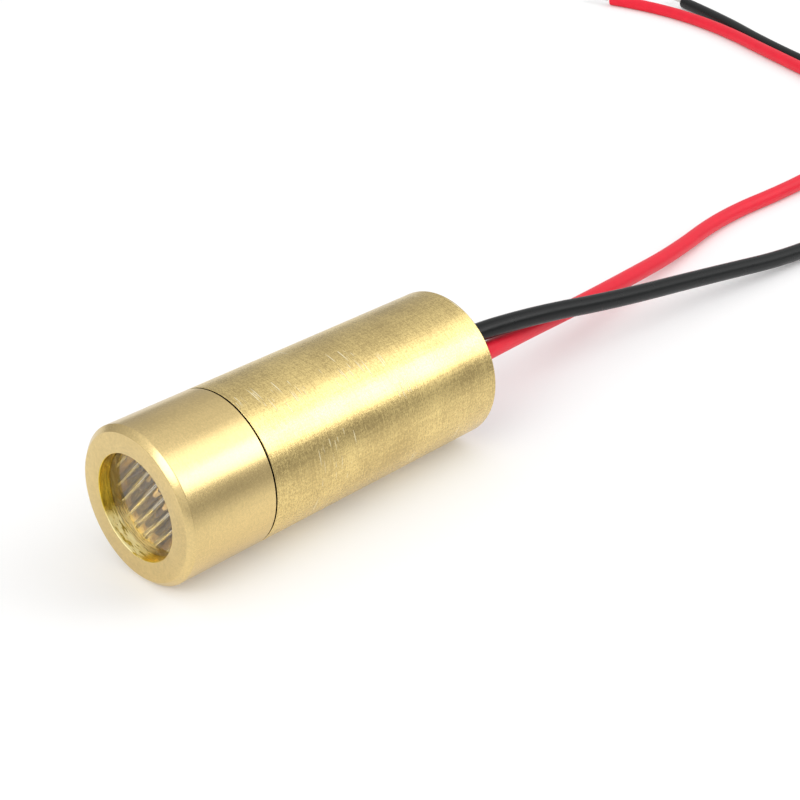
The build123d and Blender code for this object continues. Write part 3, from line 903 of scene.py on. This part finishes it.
class LASER_OT_potting(bpy.types.Operator):
    """Pour the epoxy plug, dished and climbing the two wires"""

    bl_idname = "laser_module.potting"
    bl_label = "Rear Potting"

    def execute(self, context):
        sizes = context.scene.module_sizes
        wire_radius = context.scene.wire_sizes.insulation / 2
        radius = sizes.potting / 2
        bm = bmesh.new()
        middle = bm.verts.new((0, POTTING_REAR, BODY_RADIUS))
        wall = bm.verts.new((radius, POTTING_REAR, BODY_RADIUS))
        spoke = bm.edges.new((middle, wall))
        bmesh.ops.subdivide_edges(bm, edges=[spoke], cuts=POTTING_RINGS)
        spin_round(bm, POTTING_STEPS)
        for vert in bm.verts:
            share = (vert.co - AXIS_POINT).xz.length / radius
            vert.co.y -= sizes.potting_dish * (1 - share**2)
            for route in (BLACK_ROUTE, RED_ROUTE):
                gap = (vert.co - Vector(route[1])).xz.length - wire_radius
                vert.co.y += sizes.meniscus_rise * exp(-max(gap, 0) / sizes.meniscus_reach)
        rim = [edge for edge in bm.edges if edge.is_boundary]
        made = bmesh.ops.extrude_edge_only(bm, edges=rim)
        for vert in vertices(made["geom"]):
            vert.co.y = POTTING_FRONT
        fill_openings(bm)
        epoxy = potting_epoxy("Black epoxy", context.scene.module_colours.epoxy)
        add_piece("potting_plug", bm, epoxy, "rear_potting")
        return {"FINISHED"}


class LASER_OT_wires(bpy.types.Operator):
    """Lay the red and the black wire, with their tinned ends"""

    bl_idname = "laser_module.wires"
    bl_label = "Wires"

    def execute(self, context):
        sizes = context.scene.wire_sizes
        colours = context.scene.module_colours
        tin = plated_metal("Tinned strands", colours.tin, roughness=0.28, grain_size=0.05 * MM)
        black_pvc = insulation("Black PVC", colours.black_pvc, roughness=0.30, shine=0.22)
        red_pvc = insulation("Red PVC", colours.red_pvc, roughness=0.36, shine=0.22)
        self.lay_wire(sizes, "black", BLACK_ROUTE, BLACK_LENGTH, black_pvc, tin)
        self.lay_wire(sizes, "red", RED_ROUTE, RED_LENGTH, red_pvc, tin)
        return {"FINISHED"}

    def lay_wire(self, sizes, name, route, real_length, pvc, tin):
        """One wire along its route, with the stripped strands at its outer end."""
        curve = bpy.data.curves.new(f"{name}_lead", "CURVE")
        curve.dimensions = "3D"
        curve.bevel_depth = sizes.insulation / 2
        curve.bevel_resolution = WIRE_BEVEL_STEPS
        curve.resolution_u = WIRE_STEPS
        curve.use_fill_caps = True
        spline = curve.splines.new("NURBS")
        spline.points.add(len(route) - 1)
        for point, place in zip(spline.points, route):
            point.co = (*place, 1.0)
        spline.order_u = 3
        spline.use_endpoint_u = True
        curve.materials.append(pvc)
        wire = bpy.data.objects.new(f"{name}_lead", curve)
        bpy.context.scene.collection.objects.link(wire)
        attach(wire, BODY)
        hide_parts(f"{name}_wire")
        strands = self.strip_end(sizes, name, Vector(route[-1]), Vector(route[-2]), tin)

    def strip_end(self, sizes, name, end, before, tin):
        """Twisted strands in line with the wire's last run, three of them across the core."""
        strand = sizes.core / 3 / 2
        reach = sizes.tip + sizes.overlap
        bm = bmesh.new()
        places = [Vector((0, 0, 0))]
        for number in range(sizes.strands):
            turn = tau * number / sizes.strands
            places.append(Vector((cos(turn), sin(turn), 0)) * 2 * strand)
        for place in places:
            bmesh.ops.create_circle(
                bm,
                cap_ends=True,
                segments=STRAND_SIDES,
                radius=strand,
                matrix=Matrix.Translation(place),
            )
        bmesh.ops.spin(
            bm,
            geom=bm.verts[:] + bm.edges[:] + bm.faces[:],
            cent=(0, 0, 0),
            axis=(0, 0, 1),
            dvec=(0, 0, reach / STRAND_STEPS),
            angle=sizes.twist,
            steps=STRAND_STEPS,
        )
        fill_openings(bm)
        along = (end - before).normalized()
        aim = along.to_track_quat("Z", "Y").to_matrix().to_4x4()
        start = Matrix.Translation(end - along * sizes.overlap)
        bmesh.ops.transform(bm, verts=bm.verts, matrix=start @ aim)
        return add_piece(f"{name}_strands", bm, tin, f"{name}_wire_tip")


class LASER_OT_inner_finishes(bpy.types.Operator):
    """Finish the pieces inside, whose CAD shapes stay"""

    bl_idname = "laser_module.inner_finishes"
    bl_label = "Inner Finishes"

    def execute(self, context):
        colours = context.scene.module_colours
        finishes = {
            # The lens cell's brass is darkened as painted shade inside the module
            turned_brass("Shade-painted brass", colours.cell_brass, 0.30, 0.6, 0.3): ["lens_cell"],
            clear_optic("Coated glass", (0.93, 0.94, 0.98), 0.01, 1.6): ["collimator_lens"],
            clear_optic("Window glass", (0.96, 0.97, 0.97), 0.01, 1.5): ["diode_window"],
            plated_metal("Spring wire", (0.62, 0.62, 0.60), 0.26, 0.06 * MM): ["focus_spring"],
            plated_metal("Gold plating", (0.83, 0.62, 0.26), 0.30, 0.05 * MM): [
                "diode_header",
                "diode_leads",
            ],
            plated_metal("Nickel plating", (0.76, 0.74, 0.70), 0.20, 0.05 * MM): ["diode_can"],
            plated_metal("Bare copper", (0.72, 0.40, 0.27), 0.34, 0.07 * MM): ["diode_stem"],
            plated_metal("Bright solder", (0.70, 0.71, 0.72), 0.24, 0.12 * MM): ["solder_joints"],
            plated_metal("Tinned core", colours.tin, 0.30, 0.05 * MM): [
                "red_wire_stub",
                "black_wire_stub",
            ],
            moulded("Semiconductor", (0.10, 0.10, 0.13), 0.12, 0.05 * MM, 0.5): [
                "laser_chip",
                "monitor_photodiode",
            ],
            moulded("Sealing glass", (0.03, 0.05, 0.045), 0.10, 0.10 * MM, 0.6): ["lead_seals"],
            moulded("Solder mask", (0.015, 0.11, 0.045), 0.36, 0.09 * MM, 0.3): ["driver_board"],
            moulded("Moulding compound", (0.020, 0.020, 0.021), 0.55, 0.06 * MM): ["driver_transistors"],
            moulded("Resistor glaze", (0.025, 0.025, 0.028), 0.30, 0.08 * MM, 0.3): ["chip_resistors"],
            moulded("Tan ceramic", (0.42, 0.27, 0.13), 0.48, 0.07 * MM): ["chip_capacitor"],
        }
        for finish, nodes in finishes.items():
            for node in nodes:
                for slot in frame["nodes"][node].material_slots:
                    slot.material = finish
        return {"FINISHED"}


class LASER_OT_stage(bpy.types.Operator):
    """Set up the floor, the soft lights and the camera"""

    bl_idname = "laser_module.stage"
    bl_label = "Stage"

    FLOOR_RADIUS = 1.5
    LAMP_DISTANCE = 0.42
    NEAREST_SEEN = 0.001

    # Ways from the module to the side light, the front light and a glow in the room
    TO_SIDE = (0.606, 0.633, 0.482)
    TO_FRONT = (0.19, -0.75, 0.63)
    TO_GLOW = (0.452, 0.633, 0.629)

    # Diameters of the two lights
    SIDE_DISC = 0.20
    FRONT_DISC = 0.28

    # Where the room starts to glow, and by how much: towards that way, and towards the front
    GLOW_EDGE = 0.86
    GLOW_GAIN = 1.6
    FRONT_EDGE = 0.2
    FRONT_GAIN = 0.6

    # Brightness of the room, from the horizon at 0 to overhead at 1
    ROOM_STOPS = (
        (0.0, 0.42), (0.12, 0.48), (0.3, 0.55), (0.5, 0.60), (0.65, 0.69), (0.76, 0.82), (1.0, 1.0)
    )

    # How bright metal mirrors the floor, from the module's axis at 0 to this far aside at 1
    FADE_REACH = 0.2
    FADE_STOPS = ((0.0, 0.88), (0.015, 0.94), (0.055, 0.93), (0.10, 0.72), (0.23, 0.46), (1.0, 0.40))

    # How much of the floor is plain white to the camera, in metal and through glass
    CAMERA_WHITE = 0.16
    MIRROR_WHITE = 0.2
    GLASS_WHITE = 0.5

    def execute(self, context):
        settings = context.scene.stage_settings
        context.scene.view_settings.view_transform = "Standard"
        self.lay_floor(settings)
        self.light_room(context.scene, settings)
        self.hang_lamp("Side softbox", self.TO_SIDE, self.SIDE_DISC, settings.softbox)
        self.hang_lamp("Front fill", self.TO_FRONT, self.FRONT_DISC, settings.fill)
        self.aim_camera(context.scene, settings)
        return {"FINISHED"}

    def lay_floor(self, settings):
        """A white sheet that keeps the shadow and looks white to the camera, metal and glass."""
        bm = bmesh.new()
        bmesh.ops.create_circle(bm, cap_ends=True, segments=FLOOR_SIDES, radius=self.FLOOR_RADIUS)
        mesh = bpy.data.meshes.new("floor")
        bm.to_mesh(mesh)
        bm.free()
        graph = Graph(bpy.data.materials.new("White sheet"))
        fade = graph.ramp(self.FADE_STOPS, graph.component("X", graph.place()) / self.FADE_REACH)
        camera = graph.node("ShaderNodeLightPath", output="Is Camera Ray")
        mirror = camera.other("Is Glossy Ray")
        glass = camera.other("Is Transmission Ray")
        level = graph.blend(mirror, opaque(WHITE), fade)
        sheet = graph.principled(
            Base_Color=graph.blend(1.0, opaque(settings.floor), level, "MULTIPLY"), Roughness=0.9
        )
        white = graph.node("ShaderNodeEmission", {}, {"Color": level, "Strength": 1.0})
        seen = camera * self.CAMERA_WHITE + mirror * self.MIRROR_WHITE + glass * self.GLASS_WHITE
        mesh.materials.append(graph.surface(graph.mix_shaders(seen, sheet, white)))
        floor = bpy.data.objects.new("floor", mesh)
        bpy.context.scene.collection.objects.link(floor)

    def light_room(self, scene, settings):
        """White behind the module, and a soft room, dim at the horizon, that lights it."""
        scene.world = bpy.data.worlds.new("Studio")
        graph = Graph(scene.world)
        way = graph.node("ShaderNodeTexCoord", output="Generated")
        height = graph.component("Z", way)
        level = graph.ramp(self.ROOM_STOPS, height)
        facing = graph.measure("DOT_PRODUCT", way, Vector(self.TO_GLOW).normalized())
        glow = graph.mapped(facing, self.GLOW_EDGE, 1.0) * self.GLOW_GAIN
        front = graph.mapped(-1.0 * height.other("Y"), self.FRONT_EDGE, 1.0) * self.FRONT_GAIN
        strength = settings.room + glow + front
        room = graph.node("ShaderNodeBackground", {}, {"Color": level, "Strength": strength})
        white = graph.node("ShaderNodeBackground", {}, {"Color": opaque(WHITE), "Strength": 1.0})
        camera = graph.node("ShaderNodeLightPath", output="Is Camera Ray")
        seen = graph.node("ShaderNodeClamp", {}, {"Value": camera + camera.other("Is Transmission Ray")})
        graph.surface(graph.mix_shaders(seen, room, white))

    def hang_lamp(self, name, way, size, brightness):
        """A round soft light on one side, aimed at the module, whose power follows its area."""
        lamp = bpy.data.lights.new(name, "AREA")
        lamp.shape = "DISK"
        lamp.size = size
        lamp.energy = brightness * pi * pi * (size / 2) ** 2
        hung = bpy.data.objects.new(name, lamp)
        towards = Vector(way).normalized()
        hung.location = AXIS_POINT + towards * self.LAMP_DISTANCE
        hung.rotation_euler = towards.to_track_quat("Z", "Y").to_euler()
        hung.visible_camera = False
        bpy.context.scene.collection.objects.link(hung)

    def aim_camera(self, scene, settings):
        """The camera, at its place and angles."""
        camera = bpy.data.cameras.new("Camera")
        camera.lens = settings.camera_lens
        camera.clip_start = self.NEAREST_SEEN
        stand = bpy.data.objects.new("Camera", camera)
        stand.location = settings.camera_place
        stand.rotation_euler = (settings.camera_tilt, 0.0, settings.camera_turn)
        scene.collection.objects.link(stand)
        scene.camera = stand


class LASER_PT_pieces(bpy.types.Panel):
    """The module's pieces, in the order in which they are made"""

    bl_idname = "LASER_PT_pieces"
    bl_label = "Laser Module"
    bl_space_type = "VIEW_3D"
    bl_region_type = "UI"
    bl_category = "Laser Module"

    def draw(self, context):
        for operator in operators:
            self.layout.operator(operator.bl_idname)
        for settings in settings_groups:
            group = getattr(context.scene, settings)
            for name in group.bl_rna.properties.keys():
                if name not in ("rna_type", "name"):
                    self.layout.prop(group, name)


settings_groups = {
    "module_sizes": ModuleSizes,
    "wire_sizes": WireSizes,
    "module_colours": ModuleColours,
    "stage_settings": StageSettings,
}
operators = (
    LASER_OT_stage,
    LASER_OT_wires,
    LASER_OT_nose_cap,
    LASER_OT_barrel,
    LASER_OT_line_lens,
    LASER_OT_potting,
    LASER_OT_inner_finishes,
)


def register():
    """Adds the settings, the operators and the panel to Blender."""
    for name, group in settings_groups.items():
        bpy.utils.register_class(group)
        setattr(bpy.types.Scene, name, PointerProperty(type=group))
    for operator in operators:
        bpy.utils.register_class(operator)
    bpy.utils.register_class(LASER_PT_pieces)


def unregister():
    """Takes them away again, in reverse."""
    bpy.utils.unregister_class(LASER_PT_pieces)
    for operator in reversed(operators):
        bpy.utils.unregister_class(operator)
    for name, group in settings_groups.items():
        delattr(bpy.types.Scene, name)
        bpy.utils.unregister_class(group)


def main():
    register()
    bpy.ops.laser_module.stage()
    bpy.ops.laser_module.wires()
    bpy.ops.laser_module.nose_cap()
    bpy.ops.laser_module.barrel()
    bpy.ops.laser_module.line_lens()
    bpy.ops.laser_module.potting()
    bpy.ops.laser_module.inner_finishes()


if __name__ == "__main__":
    main()
